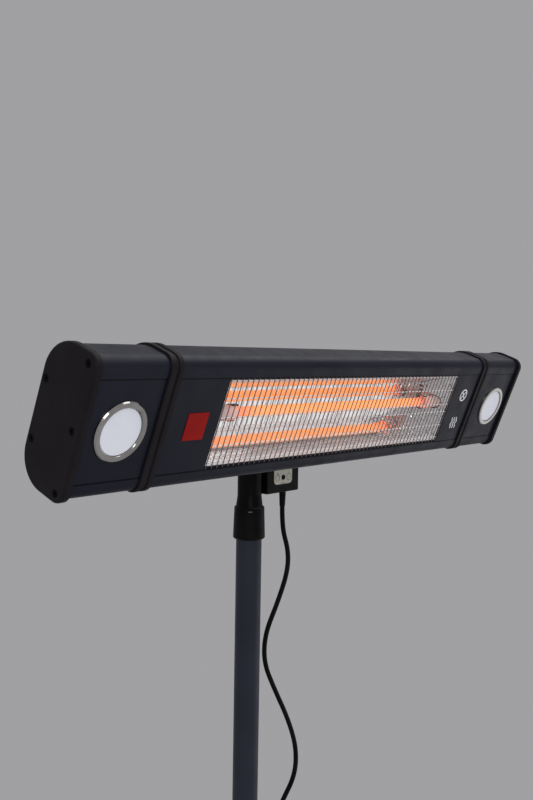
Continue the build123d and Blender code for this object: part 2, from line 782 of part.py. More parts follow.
def make_post():
    """Moulded post with its cone, the collar, the pole and its coupler."""
    foot = Pos(0, 0, post_bottom)
    post = extrude(foot * RectangleRounded(post_size, post_size, post_corner), post_top - post_bottom)
    post = fillet(post.faces().sort_by(Axis.Z)[-1].edges(), 3)
    bore = pole_radius - pole_wall
    post += turned(
        [
            (0, 0),
            (cone_top, 0),
            (cone_bottom, -cone_length),
            (bore - slip_gap, -cone_length),
            (bore - slip_gap, -cone_length - spigot_length),
            (0, -cone_length - spigot_length),
        ],
        (0, 0, post_bottom),
        (0, 0, 1),
    )
    bolts = []
    for side in sides:
        z = pivot.Z + side * strap_bolt_spread
        seat = strap_back - strap_sheet
        tip = seat + bolt_length
        post -= rod((0, strap_back - 1, z), (0, tip + face_gap, z), bolt_radius + thread_gap)
        bolts.append(hex_bolt((0, seat, z), (0, 1, 0)))
    add("post_head", post)
    rise = collar_over_cone
    collar = turned(
        [
            (pole_radius + slip_gap, rise - collar_length),
            (collar_bottom_radius - collar_chamfer, rise - collar_length),
            (collar_bottom_radius, rise - collar_length + collar_chamfer),
            (collar_top_radius, rise - collar_chamfer),
            (collar_top_radius - collar_chamfer, rise),
            (cone_bottom + slip_gap, rise),
            (cone_bottom + slip_gap, -face_gap),
            (pole_radius + slip_gap, -face_gap),
        ],
        (0, 0, cone_low),
        (0, 0, 1),
    )
    add("pole_collar", collar)
    seat = base_top + flange_thickness
    spans = {"pole_upper": (pole_split, pole_top), "pole_lower": (seat, pole_split)}
    for name, (low, high) in spans.items():
        add(name, ring((0, 0, low), (0, 0, high), pole_radius, bore))
    half = coupler_length / 2
    coupler = ((0, 0, pole_split - half), (0, 0, pole_split + half))
    add("pole_coupler", ring(*coupler, bore - thread_gap, bore - thread_gap - pole_wall))
    return bolts


def make_base(bolts):
    """Heavy round plate on rubber feet, with the socket that holds the pole."""
    plate = rod((0, 0, foot_height), (0, 0, base_top), base_radius)
    plate = fillet(plate.edges().group_by(Axis.Z)[-1], base_edge)
    flange = rod((0, 0, base_top), (0, 0, base_top + flange_thickness), flange_radius)
    flange = chamfer(flange.edges().group_by(Axis.Z)[-1], 1.5)
    bore = pole_radius + slip_gap
    sleeve = rod((0, 0, base_top), (0, 0, socket_top), bore + socket_wall)
    sleeve = fillet(sleeve.edges().group_by(Axis.Z)[-1], socket_edge)
    socket = flange + sleeve - rod((0, 0, base_top + flange_thickness), (0, 0, socket_top + 1), bore)
    seat = base_top + flange_thickness
    for count in range(flange_bolts):
        angle = math.radians(90 + count * 360 / flange_bolts)
        x, y = flange_circle * math.cos(angle), flange_circle * math.sin(angle)
        tip = seat - bolt_length - face_gap
        socket -= rod((x, y, base_top - 1), (x, y, seat + 1), bolt_radius + slip_gap)
        plate -= rod((x, y, tip), (x, y, base_top + 1), bolt_radius + thread_gap)
        bolts.append(hex_bolt((x, y, seat), (0, 0, -1)))
    feet = []
    for count in range(foot_count):
        angle = math.radians((count + 0.5) * 360 / foot_count)
        x, y = foot_circle * math.cos(angle), foot_circle * math.sin(angle)
        foot = rod((x, y, 0), (x, y, foot_height), foot_radius)
        feet.append(chamfer(foot.edges().group_by(Axis.Z)[0], 1))
    add("base_plate", plate)
    add("base_socket", socket)
    add("rubber_feet", solids(*feet))
    add("stand_bolts", solids(*bolts))


def make_control_box():
    """Box on the post's side: shell, lid, screws, plate, button and board."""
    right, top = box_left + box_width, box_bottom + box_height
    y_back = box_y + box_depth
    y_lid = y_back - box_lid
    shell = block((box_left, right), (box_y, y_lid), (box_bottom, top))
    shell = fillet(shell.edges().filter_by(Axis.Y), box_edge)
    shell = fillet(shell.faces().sort_by(Axis.Y)[0].edges(), box_edge * 0.6)
    inner = ((box_left + box_wall, right - box_wall), (box_y + box_wall, y_lid + 1))
    shell -= block(*inner, (box_bottom + box_wall, top - box_wall))
    lid = block((box_left, right), (y_lid, y_back), (box_bottom, top))
    lid = fillet(lid.edges().filter_by(Axis.Y), box_edge)
    screws, posts = [], []
    for x in (box_left + box_screw_inset, right - box_screw_inset):
        for z in (box_bottom + box_screw_inset, top - box_screw_inset):
            posts.append(rod((x, box_y + box_wall, z), (x, y_lid, z), box_post_radius))
            posts[-1] -= rod((x, y_lid - box_screw_length, z), (x, y_lid, z), box_screw_radius + thread_gap)
            lid -= rod((x, y_lid - 1, z), (x, y_back + 1, z), box_screw_radius + thread_gap)
            lid -= rod((x, y_back - box_screw_sink, z), (x, y_back + 1, z), box_screw_head + slip_gap)
            seat = y_back - box_screw_sink
            screw = rod((x, seat, z), (x, seat - box_screw_length, z), box_screw_radius)
            screws.append(screw + rod((x, seat, z), (x, y_back - 0.2, z), box_screw_head))
    for post in posts:
        shell += post
    plate = Pos(plate_x, box_bottom + plate_bottom + plate_height / 2)
    outline = RectangleRounded(plate_width, plate_height, plate_corner)
    pocket = RectangleRounded(plate_width + slip_gap, plate_height + slip_gap, plate_corner)
    sunk = box_y + plate_pocket
    front = Plane(origin=(0, sunk, 0), x_dir=(1, 0, 0), z_dir=(0, -1, 0))
    shell -= extrude(front * plate * pocket, plate_pocket + 1)
    face = extrude(front * plate * outline, plate_thickness)
    hole = ((plate_x, box_y - 3, button_z), (plate_x, box_y + box_wall + 1, button_z))
    shell -= rod(*hole, button_radius + face_gap)
    face -= rod(*hole, button_radius + face_gap)
    make_button(sunk - plate_thickness)
    relief_hole = ((relief_x, relief_y, box_bottom - 1), (relief_x, relief_y, box_bottom + box_wall + 1))
    shell -= rod(*relief_hole, relief_radius + thread_gap)
    grommet = ((plate_x, 0, top), (plate_x, 0, top + top_grommet_height))
    shell += rod(*grommet, top_grommet_radius)
    shell -= rod((plate_x, 0, top - box_wall - 1), (plate_x, 0, top + top_grommet_height + 1), gland_bore)
    add("control_box_shell", shell)
    add("control_box_lid", make_board_and_posts(lid, y_lid, right, top))
    add("control_box_screws", solids(*screws))
    add("control_plate", face)


def make_button(plate_front):
    """Push button through the plate, with a flange that the shell keeps in."""
    behind = box_y + box_wall + face_gap
    stem_end = behind + button_flange_thickness + button_stem
    tip = plate_front - button_proud
    button = rod((plate_x, tip, button_z), (plate_x, stem_end, button_z), button_radius)
    button = fillet(button.edges().group_by(Axis.Y)[0], 0.6)
    flange = (plate_x, behind, button_z), (plate_x, behind + button_flange_thickness, button_z)
    add("power_button", button + rod(*flange, button_flange))


def make_board_and_posts(lid, y_lid, right, top):
    """The control board, and the posts on the lid that carry it."""
    x = (box_left + box_wall + board_margin, right - box_wall - board_margin)
    z = (box_bottom + box_wall + board_margin, top - box_wall - board_margin)
    board_back = board_y + board_thickness
    board = block(x, (board_y, board_back), z)
    behind = box_y + box_wall + face_gap
    clear = behind + button_flange_thickness + button_stem + button_travel + face_gap
    switch = (plate_x - 3, plate_x + 3)
    board += block(switch, (clear, board_y), (button_z - 3, button_z + 3))
    board += block((x[0] + 4, x[0] + 20), (board_back, board_back + 14), (z[0] + 22, z[1] - 6))
    board += block((x[1] - 24, x[1] - 6), (board_back, board_back + 10), (z[1] - 22, z[1] - 6))
    add("control_board", board)
    for px in (x[0] + 3, x[1] - 3):
        for pz in (z[0] + 3, z[1] - 3):
            lid += rod((px, board_back, pz), (px, y_lid, pz), 2.4)
    return lid


# The cord's route below its strain relief, down the pole, over the base and to the coil
cord_route = [
    (62, -9, 1619),
    (62, -9, 1588),
    (74, -12, 1554),
    (74.5, -11, 1522),
    (63.5, -2.5, 1478),
    (49.5, 9, 1432),
    (49, 10, 1390),
    (62, 0, 1350),
    (80, -12, 1304),
    (92.5, -19, 1259),
    (92, -18, 1217),
    (76, -6, 1178),
    (60, 5, 1130),
    (52, 9, 1072),
    (56, 7, 1004),
    (68, 1, 932),
    (76, -2, 856),
    (76, -1, 776),
    (67, 5, 698),
    (58, 10, 618),
    (57, 11, 534),
    (63, 10, 450),
    (69, 12, 366),
    (72, 19, 288),
    (70, 31, 216),
    (67, 47, 152),
    (65, 68, 98),
    (64, 98, 55),
    (63, 135, 30),
    (63.5, 176, 19),
    (62, 216, 19.5),
    (60.5, 254, 21.5),
    (60.2, 284, 8.5),
    (60, 310, 3.6),
]


def make_cord():
    """Strain relief, hanging cord, coil, tail and plug."""
    radius = cord_diameter / 2
    relief = turned(
        [
            (0, box_wall + 3),
            (relief_collar, box_wall + 3),
            (relief_collar, box_wall),
            (relief_radius, box_wall),
            (relief_radius, -4),
            (radius + 0.5, -relief_length),
            (0, -relief_length),
        ],
        (relief_x, relief_y, box_bottom),
        (0, 0, 1),
    )
    add("strain_relief", relief)
    start, way = Vector(coil_x + coil_radius, coil_y, coil_height), Vector(0, 1, 0)
    coil_end, coil_way = make_coil()
    join = start - way * cord_diameter
    route = [*cord_route, (join.X, join.Y, join.Z)]
    tube, radii, length, ratio = tube_along(route, cord_diameter)
    print("cord radii", [round(r) for r in radii])
    print("cord length", round(length), "volume ratio", round(ratio, 4))
    add("mains_cord", tube)
    neck = Vector(coil_end.X - tail_length, coil_end.Y, plug_radius + face_gap)
    points = [coil_end, coil_end + coil_way * tail_square, neck - coil_way * tail_square, neck]
    tail, radii, length, ratio = tube_along(points, cord_diameter)
    print("tail radii", [round(r) for r in radii], "length", round(length), "ratio", round(ratio, 4))
    add("cord_tail", tail)
    make_plug(neck)


def coil_station(turn):
    """Point and direction of the coil after so many turns."""
    pitch = cord_diameter + coil_gap
    climb_start, climb_end = coil_layer_turns, coil_layer_turns + 0.5
    inner = coil_radius - pitch * coil_layer_turns
    angle = 2 * math.pi * turn
    if turn <= climb_start:
        radius, growth, height, rise = coil_radius - pitch * turn, -pitch, 0.0, 0.0
    elif turn < climb_end:
        share = (turn - climb_start) / 0.5
        radius = inner - pitch * share * (1 - share) / 2
        growth = -pitch * (1 - 2 * share)
        height = pitch * share**2 * (3 - 2 * share)
        rise = pitch * 6 * share * (1 - share) / 0.5
    else:
        radius, growth, height, rise = inner + pitch * (turn - climb_end), pitch, pitch, 0.0
    out = Vector(math.cos(angle), math.sin(angle), 0)
    round_way = Vector(-math.sin(angle), math.cos(angle), 0)
    way = round_way * (2 * math.pi * radius) + out * growth + Vector(0, 0, rise)
    if turn == 0:
        way = round_way
    point = Vector(coil_x, coil_y, coil_height + height) + out * radius
    return point, way.normalized()


def make_coil():
    """The put-away length, as one unbroken tube in two layers."""
    turns = coil_layer_turns + 0.5 + coil_last_turn
    stations = [coil_station(step / 4) for step in range(round(turns * 4) + 1)]
    last_point, last_way = stations[-1]
    flat_way = Vector(round(last_way.X), round(last_way.Y), 0)
    stations[-1] = (last_point, flat_way)
    coil = wound_tube(stations, cord_diameter / 2, cord_diameter, cord_diameter)
    add("cord_coil", coil)
    fine = [coil_station(step / 48)[0] for step in range(round(turns * 48) + 1)]
    length = sum((b - a).length for a, b in zip(fine, fine[1:])) + 2 * cord_diameter
    print("coil length", round(length), "least gap", round(least_gap(fine, cord_diameter, 24), 2))
    print("coil volume ratio", round(coil.volume / (length * math.pi * cord_diameter**2 / 4), 4))
    return last_point + flat_way * cord_diameter, flat_way


def make_plug(neck):
    """Two-pin moulded plug lying beside the coil, its pins along -X."""
    radius = cord_diameter / 2
    body = turned(
        [
            (0, 0),
            (radius + 1, 0),
            (radius + 2.5, plug_neck * 0.6),
            (plug_nose, plug_neck),
            (plug_radius - 1.5, plug_neck + 6),
            (plug_radius, plug_neck + 10),
            (plug_radius, plug_neck + plug_length - 1),
            (plug_radius - 1, plug_neck + plug_length),
            (0, plug_neck + plug_length),
        ],
        neck,
        (-1, 0, 0),
    )
    face = neck.X - plug_neck - plug_length
    pins = []
    for side in sides:
        y = neck.Y + side * pin_spacing / 2
        pin = rod((face, y, neck.Z), (face - pin_length, y, neck.Z), pin_radius)
        pins.append(fillet(pin.edges().group_by(Axis.X)[0], 1.2))
    add("plug_body", body)
    add("plug_pins", solids(*pins))
    print("plug pins start at", round(face, 2), round(neck.Y, 2), round(neck.Z, 2))


make_housing()
make_end_caps()
make_rings()
make_panels()
make_lamps()
make_reflector()
make_element()
make_grille()
make_head_insides()
make_tilt_joint()
make_base(make_post())
make_control_box()
make_cord()
print("tilt axis", round(pivot.Y, 3), round(pivot.Z, 3))

for name, shape in nodes.items():
    export_step(shape, f"parts/{name}.step")
print(len(nodes), "nodes")
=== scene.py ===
import json
import math

import bmesh
import bpy
from mathutils import Matrix, Vector

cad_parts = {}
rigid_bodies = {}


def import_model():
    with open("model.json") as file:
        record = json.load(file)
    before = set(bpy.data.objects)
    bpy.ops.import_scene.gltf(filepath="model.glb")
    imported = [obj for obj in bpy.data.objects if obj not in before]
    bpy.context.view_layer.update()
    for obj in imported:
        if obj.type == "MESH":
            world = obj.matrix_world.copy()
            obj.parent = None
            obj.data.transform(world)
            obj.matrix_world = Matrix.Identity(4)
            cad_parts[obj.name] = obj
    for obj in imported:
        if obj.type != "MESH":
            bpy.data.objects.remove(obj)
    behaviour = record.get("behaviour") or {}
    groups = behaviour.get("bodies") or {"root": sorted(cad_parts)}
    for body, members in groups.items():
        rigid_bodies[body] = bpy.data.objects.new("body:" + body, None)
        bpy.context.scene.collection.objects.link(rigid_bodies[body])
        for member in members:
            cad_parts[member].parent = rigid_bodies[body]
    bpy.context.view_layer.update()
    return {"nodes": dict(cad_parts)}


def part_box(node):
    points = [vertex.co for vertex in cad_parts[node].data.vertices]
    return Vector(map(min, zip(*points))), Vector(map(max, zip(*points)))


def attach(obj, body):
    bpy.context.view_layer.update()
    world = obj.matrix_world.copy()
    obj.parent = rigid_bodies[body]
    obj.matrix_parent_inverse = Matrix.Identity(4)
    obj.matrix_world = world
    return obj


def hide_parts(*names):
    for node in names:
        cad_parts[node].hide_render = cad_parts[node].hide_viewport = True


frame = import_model()
nodes = frame["nodes"]

# Sizes in metres, in the frame of the CAD model
mm = 0.001
head_tilt = math.radians(21)
head_place = Matrix.Translation((0, -0.168, 1.760)) @ Matrix.Rotation(head_tilt, 4, "X")
panel_front = 0.4 * mm
cord_diameter = 7 * mm

# Window of the heater
wire_radius = 0.6 * mm
wire_pitch = 9 * mm
wire_count = 56
window_length = 499.4 * mm
window_height = 106.2 * mm
wire_rows = (-46, -26.5, -5, 6.7, 29, 50)
upright_y = 1.2 * mm
tube_y = 21 * mm
tube_z = 3.5 * mm
glow_half = 200 * mm
ribbon_radius = 5.0 * mm
ribbon_pitch = 4.0 * mm
ribbon_width = 3.3 * mm
ribbon_gauge = 0.4 * mm
red_ends_start = 165 * mm
red_ends_full = 205 * mm
coil_light_reach = 30 * mm

# Reflector
mirror_share = 0.84
dimples_per_metre = 150
dimple_height = 2 * mm
dimples_start = 110 * mm
dimples_full = 170 * mm
upper_lip = (38 * mm, 44 * mm)
lower_lip = (-51 * mm, -46 * mm)

# Dark shells round the back of the tube's ends, as painted shade
clip_start = 1.5 * mm
shade_shell_width = 11 * mm
shade_shell_radius = 9.2 * mm
shade_shell_gauge = 0.8 * mm
shade_shell_wrap = 105
shade_shell_steps = 20

# Marks beside the window
mark_x = 284 * mm
lamp_mark_z = 20.7 * mm
warmth_mark_z = -24 * mm
mark_size = 8.6 * mm
wave_spacing = 6.4 * mm
wave_swing = 1.4 * mm
wave_steps = 24

# Edges of the face panels
seam_reach = 432 * mm
seam_z = 53.9 * mm

# Camera, fitted to the photograph
camera_place = Vector((-0.9864, -0.8442, 1.8362))
camera_right = Vector((0.6381, -0.7698, 0.0161))
camera_up = Vector((0.0272, 0.0435, 0.9987))
camera_lens = 42.3
sensor_long_side = 36.0

# Studio
backdrop_colour = (0.355, 0.352, 0.362, 1)
room_colour = (0.93, 0.96, 1.0, 1)
room_strength = 0.5
floor_radius = 2.3
floor_solid_radius = 0.9


def add_camera():
    data = bpy.data.cameras.new("camera")
    data.lens = camera_lens
    data.sensor_width = sensor_long_side
    data.clip_start = 0.05
    camera = bpy.data.objects.new("camera", data)
    turn = Matrix((camera_right, camera_up, camera_right.cross(camera_up))).transposed()
    camera.matrix_world = Matrix.Translation(camera_place) @ turn.to_4x4()
    bpy.context.scene.collection.objects.link(camera)
    bpy.context.scene.camera = camera


def add_softbox(name, place, target, width, height, watts):
    """A soft rectangular lamp that looks at a point."""
    data = bpy.data.lights.new(name, "AREA")
    data.shape = "RECTANGLE"
    data.size, data.size_y = width, height
    data.energy = watts
    lamp = bpy.data.objects.new(name, data)
    lamp.location = place
    way = Vector(target) - Vector(place)
    lamp.rotation_euler = way.to_track_quat("-Z", "Y").to_euler()
    bpy.context.scene.collection.objects.link(lamp)


def seen_directly(tree):
    """1 for camera, mirror and glass rays, 0 for the rays that light a surface."""
    path = tree.nodes.new("ShaderNodeLightPath")
    total = path.outputs["Is Camera Ray"]
    for ray in ("Is Glossy Ray", "Is Transmission Ray"):
        add = tree.nodes.new("ShaderNodeMath")
        add.operation = "MAXIMUM"
        tree.links.new(total, add.inputs[0])
        tree.links.new(path.outputs[ray], add.inputs[1])
        total = add.outputs[0]
    return total


def set_world():
    """An even grey behind the object, and a brighter even light on it."""
    world = bpy.data.worlds.new("studio")
    bpy.context.scene.world = world
    world.use_nodes = True
    tree = world.node_tree
    lit = tree.nodes["Background"]
    lit.inputs["Color"].default_value = room_colour
    lit.inputs["Strength"].default_value = room_strength
    shown = tree.nodes.new("ShaderNodeBackground")
    shown.inputs["Color"].default_value = backdrop_colour
    mix = tree.nodes.new("ShaderNodeMixShader")
    tree.links.new(seen_directly(tree), mix.inputs[0])
    tree.links.new(lit.outputs[0], mix.inputs[1])
    tree.links.new(shown.outputs[0], mix.inputs[2])
    tree.links.new(mix.outputs[0], tree.nodes["World Output"].inputs["Surface"])


def add_floor():
    """A plain floor round the stand that fades into the backdrop's grey."""
    bpy.ops.mesh.primitive_circle_add(vertices=96, radius=floor_radius, fill_type="NGON")
    floor = bpy.context.object
    floor.name = "studio_floor"
    material = bpy.data.materials.new("floor_grey")
    material.use_nodes = True
    tree = material.node_tree
    shader = tree.nodes["Principled BSDF"]
    shader.inputs["Base Color"].default_value = backdrop_colour
    shader.inputs["Roughness"].default_value = 0.9
    coords = tree.nodes.new("ShaderNodeTexCoord")
    length = tree.nodes.new("ShaderNodeVectorMath")
    length.operation = "LENGTH"
    fade = tree.nodes.new("ShaderNodeMapRange")
    fade.interpolation_type = "SMOOTHSTEP"
    fade.inputs["From Min"].default_value = floor_solid_radius
    fade.inputs["From Max"].default_value = floor_radius
    clear = tree.nodes.new("ShaderNodeBsdfTransparent")
    mix = tree.nodes.new("ShaderNodeMixShader")
    tree.links.new(coords.outputs["Object"], length.inputs[0])
    tree.links.new(length.outputs["Value"], fade.inputs["Value"])
    tree.links.new(fade.outputs["Result"], mix.inputs[0])
    tree.links.new(shader.outputs[0], mix.inputs[1])
    tree.links.new(clear.outputs[0], mix.inputs[2])
    tree.links.new(mix.outputs[0], tree.nodes["Material Output"].inputs["Surface"])
    floor.data.materials.append(material)


# Materials

def finish(name, colour, roughness, **sockets):
    """A material whose plain numbers sit on the shader's own sockets."""
    material = bpy.data.materials.new(name)
    material.use_nodes = True
    shader = material.node_tree.nodes["Principled BSDF"]
    shader.inputs["Base Color"].default_value = (*colour, 1)
    shader.inputs["Roughness"].default_value = roughness
    for label, value in sockets.items():
        shader.inputs[label.replace("_", " ")].default_value = value
    return material


def object_coords(material):
    return material.node_tree.nodes.new("ShaderNodeTexCoord").outputs["Object"]


def object_x(material):
    """The place along the bar, in metres."""
    tree = material.node_tree
    axes = tree.nodes.new("ShaderNodeSeparateXYZ")
    tree.links.new(object_coords(material), axes.inputs[0])
    return axes.outputs["X"]


def from_middle(material):
    """How far a point is from the middle of the bar, in metres."""
    tree = material.node_tree
    away = tree.nodes.new("ShaderNodeMath")
    away.operation = "ABSOLUTE"
    tree.links.new(object_x(material), away.inputs[0])
    return away.outputs[0]


def placed(material, stretch=(1, 1, 1), turn=0.0):
    """Object coordinates, turned about X and stretched."""
    tree = material.node_tree
    mapping = tree.nodes.new("ShaderNodeMapping")
    mapping.vector_type = "TEXTURE"
    mapping.inputs["Rotation"].default_value = (turn, 0, 0)
    mapping.inputs["Scale"].default_value = stretch
    tree.links.new(object_coords(material), mapping.inputs["Vector"])
    return mapping.outputs["Vector"]


def noise(material, scale, detail=3.0, stretch=(1, 1, 1)):
    """Noise on Object coordinates: its size is set by the scale, per metre."""
    tree = material.node_tree
    pattern = tree.nodes.new("ShaderNodeTexNoise")
    pattern.inputs["Scale"].default_value = scale
    pattern.inputs["Detail"].default_value = detail
    tree.links.new(placed(material, stretch=stretch), pattern.inputs["Vector"])
    return pattern.outputs["Fac"]


def cells(material, scale, turn):
    """Rounded cells on Object coordinates, as hammered sheet has."""
    tree = material.node_tree
    pattern = tree.nodes.new("ShaderNodeTexVoronoi")
    pattern.feature = "SMOOTH_F1"
    pattern.inputs["Scale"].default_value = scale
    pattern.inputs["Smoothness"].default_value = 0.6
    tree.links.new(placed(material, turn=turn), pattern.inputs["Vector"])
    return pattern.outputs["Distance"]


def ranged(material, value, low, high, start=0.35, end=0.65):
    """Brings a pattern into a range of numbers."""
    tree = material.node_tree
    node = tree.nodes.new("ShaderNodeMapRange")
    for label, number in (("From Min", start), ("From Max", end), ("To Min", low), ("To Max", high)):
        node.inputs[label].default_value = number
    tree.links.new(value, node.inputs["Value"])
    return node.outputs["Result"]


def vary_colour(material, value, low, high):
    """Colour that runs between two tints along a pattern."""
    tree = material.node_tree
    mix = tree.nodes.new("ShaderNodeMix")
    mix.data_type = "RGBA"
    mix.inputs["A"].default_value = (*low, 1)
    mix.inputs["B"].default_value = (*high, 1)
    tree.links.new(value, mix.inputs["Factor"])
    tree.links.new(mix.outputs["Result"], tree.nodes["Principled BSDF"].inputs["Base Color"])


def vary_roughness(material, value, low, high):
    shader = material.node_tree.nodes["Principled BSDF"]
    material.node_tree.links.new(ranged(material, value, low, high), shader.inputs["Roughness"])


def bump(material, value, height, strength=1.0):
    """Relief of a real height in metres; a second call adds to the first."""
    tree = material.node_tree
    shader = tree.nodes["Principled BSDF"]
    node = tree.nodes.new("ShaderNodeBump")
    node.inputs["Strength"].default_value = strength
    node.inputs["Distance"].default_value = height
    if shader.inputs["Normal"].links:
        tree.links.new(shader.inputs["Normal"].links[0].from_socket, node.inputs["Normal"])
    tree.links.new(value, node.inputs["Height"])
    tree.links.new(node.outputs["Normal"], shader.inputs["Normal"])


def powder_coat(name, low, high, roughness, grain=900, relief=0.05 * mm):
    """Sprayed paint with a fine skin and slow drifts of tint and gloss."""
    material = finish(name, low, roughness, Specular_IOR_Level=0.13)
    drift = noise(material, 7, 2)
    vary_colour(material, ranged(material, drift, 0, 1), low, high)
    vary_roughness(material, noise(material, 40, 2), roughness - 0.05, roughness + 0.06)
    bump(material, noise(material, grain, 2), relief, 0.5)
    return material


def moulding(name, low, high, roughness, grain=1500, relief=0.04 * mm):
    """Moulded plastic with a fine spark-eroded grain."""
    material = finish(name, low, roughness, Specular_IOR_Level=0.06)
    vary_colour(material, ranged(material, noise(material, 25, 3), 0, 1), low, high)
    vary_roughness(material, noise(material, 90, 3), roughness - 0.06, roughness + 0.08)
    bump(material, noise(material, grain, 1), relief, 0.6)
    return material


def bare_metal(name, low, high, roughness, grain=700, stretch=(1, 1, 1)):
    """Plain or plated metal, its brush marks drawn out by the stretch."""
    material = finish(name, low, roughness, Metallic=1.0)
    marks = noise(material, grain, 3, stretch)
    vary_colour(material, ranged(material, marks, 0, 1), low, high)
    vary_roughness(material, marks, roughness - 0.06, roughness + 0.1)
    return material


def hammered_mirror(name):
    """Bright aluminium: dimpled at its right end, hazy at the upper lip and matt at the lower one."""
    material = finish(name, (0.95, 0.94, 0.94), 0.1, Metallic=mirror_share)
    tree = material.node_tree
    shader = tree.nodes["Principled BSDF"]
    tint = ranged(material, noise(material, 160, 3), 0, 1)
    vary_colour(material, tint, (0.9, 0.89, 0.9), (0.97, 0.96, 0.96))
    dimples = tree.nodes.new("ShaderNodeMath")
    dimples.operation = "MULTIPLY"
    depth = ranged(material, object_x(material), 0.012, 0.7, dimples_start, dimples_full)
    tree.links.new(cells(material, dimples_per_metre, head_tilt), dimples.inputs[0])
    tree.links.new(depth, dimples.inputs[1])
    bump(material, dimples.outputs[0], dimple_height, 0.8)
    up_the_face = head_place.to_3x3() @ Vector((0, 0, 1))
    centre = head_place.translation.dot(up_the_face)
    upright = tree.nodes.new("ShaderNodeVectorMath")
    upright.operation = "DOT_PRODUCT"
    upright.inputs[1].default_value = up_the_face
    tree.links.new(object_coords(material), upright.inputs[0])
    for label, low, high, lip in (
        ("Roughness", 0.07, 0.5, upper_lip),
        ("Metallic", 0, mirror_share, lower_lip),
    ):
        edges = [centre + edge for edge in lip]
        tree.links.new(ranged(material, upright.outputs["Value"], low, high, *edges), shader.inputs[label])
    return material


def glow(name, middle, edge, strength):
    """Glowing carbon, redder towards both ends of the tube."""
    material = finish(name, (0.2, 0.05, 0.02), 0.6, Emission_Strength=strength)
    tree = material.node_tree
    mix = tree.nodes.new("ShaderNodeMix")
    mix.data_type = "RGBA"
    mix.inputs["A"].default_value = (*middle, 1)
    mix.inputs["B"].default_value = (*edge, 1)
    redness = ranged(material, from_middle(material), 0, 1, red_ends_start, red_ends_full)
    tree.links.new(redness, mix.inputs["Factor"])
    tree.links.new(mix.outputs["Result"], tree.nodes["Principled BSDF"].inputs["Emission Color"])
    return material


def paint_coil_light(material):
    """Painted red light of the coil on the ceramic next to it, made as a glow of the ceramic."""
    shader = material.node_tree.nodes["Principled BSDF"]
    shader.inputs["Emission Color"].default_value = (1.0, 0.24, 0.14, 1)
    near = ranged(material, from_middle(material), 0.5, 0.08, glow_half, glow_half + coil_light_reach)
    material.node_tree.links.new(near, shader.inputs["Emission Strength"])
    return material


# Each finish: two tints that it drifts between, roughness, then grain and relief where they differ
paints = {
    "housing_paint": ((0.0075, 0.0085, 0.016), (0.0105, 0.0115, 0.0205), 0.4),
    "bracket_paint": ((0.01, 0.01, 0.011), (0.015, 0.015, 0.017), 0.45),
    "pole_paint": ((0.02, 0.023, 0.034), (0.026, 0.03, 0.043), 0.36),
    "base_paint": ((0.026, 0.028, 0.034), (0.036, 0.038, 0.046), 0.5, 450, 0.12 * mm),
}
mouldings = {
    "cap_moulding": ((0.0125, 0.0105, 0.012), (0.0155, 0.013, 0.0148), 0.42),
    "black_moulding": ((0.003, 0.003, 0.0035), (0.005, 0.005, 0.0055), 0.36),
    "cord_rubber": ((0.004, 0.004, 0.004), (0.007, 0.007, 0.007), 0.36, 500),
    # Long grille rows: near-white as a painted highlight of the light from above, though they are the same
    # metal as the uprights
    "bright_wire": ((0.88, 0.84, 0.83), (0.95, 0.91, 0.9), 0.3, 300),
    "red_plate": ((0.28, 0.006, 0.005), (0.32, 0.008, 0.006), 0.34),
    "beige_plate": ((0.5, 0.48, 0.4), (0.56, 0.54, 0.46), 0.45),
    "milky_lens": ((0.84, 0.84, 0.92), (0.9, 0.9, 0.97), 0.3, 2500, 0.02 * mm),
    "glazed_ceramic": ((0.62, 0.56, 0.54), (0.72, 0.66, 0.63), 0.25),
    "green_board": ((0.02, 0.13, 0.05), (0.03, 0.17, 0.07), 0.35),
    "white_case": ((0.6, 0.6, 0.58), (0.68, 0.68, 0.66), 0.45),
    "lead_sleeve": ((0.5, 0.48, 0.44), (0.6, 0.58, 0.54), 0.6, 700),
    "foot_rubber": ((0.014, 0.014, 0.014), (0.022, 0.022, 0.022), 0.75),
    "white_print": ((0.8, 0.8, 0.82), (0.88, 0.88, 0.9), 0.5),
    "brown_print": ((0.16, 0.13, 0.12), (0.24, 0.2, 0.18), 0.5),
}
metals = {
    "polished_ring": ((0.42, 0.41, 0.39), (0.5, 0.49, 0.47), 0.12, 25),
    # Grille uprights: dark as a painted dark reflection of the room beside them; the same metal also makes
    # the collar's short line
    "dim_plated_metal": ((0.2, 0.19, 0.19), (0.3, 0.29, 0.29), 0.3, 300),
    "zinc": ((0.5, 0.5, 0.5), (0.62, 0.62, 0.6), 0.35, 700, (8, 1, 1)),
    "nickel": ((0.7, 0.67, 0.6), (0.78, 0.75, 0.68), 0.22, 700, (8, 1, 1)),
    # Near-black metal: painted shade, which makes the screws read as shaded recesses and the shells at the
    # tube's ends as the shaded back of the tube holders
    "black_screw": ((0.004, 0.004, 0.0045), (0.01, 0.01, 0.011), 0.22),
}


def make_finishes():
    made = {}
    for make, table in ((powder_coat, paints), (moulding, mouldings), (bare_metal, metals)):
        for name, numbers in table.items():
            made[name] = make(name, *numbers)
    paint_coil_light(made["glazed_ceramic"])
    made["hammered_sheet"] = hammered_mirror("hammered_sheet")
    made["glowing_carbon"] = glow("glowing_carbon", (1.0, 0.3, 0.045), (0.95, 0.13, 0.035), 1.5)
    made["quartz"] = finish("quartz", (1, 0.9, 0.8), 0.06, Alpha=0.22, IOR=1.45)
    bump(made["quartz"], noise(made["quartz"], 60, 2, (6, 1, 1)), 0.05 * mm, 0.3)
    return made


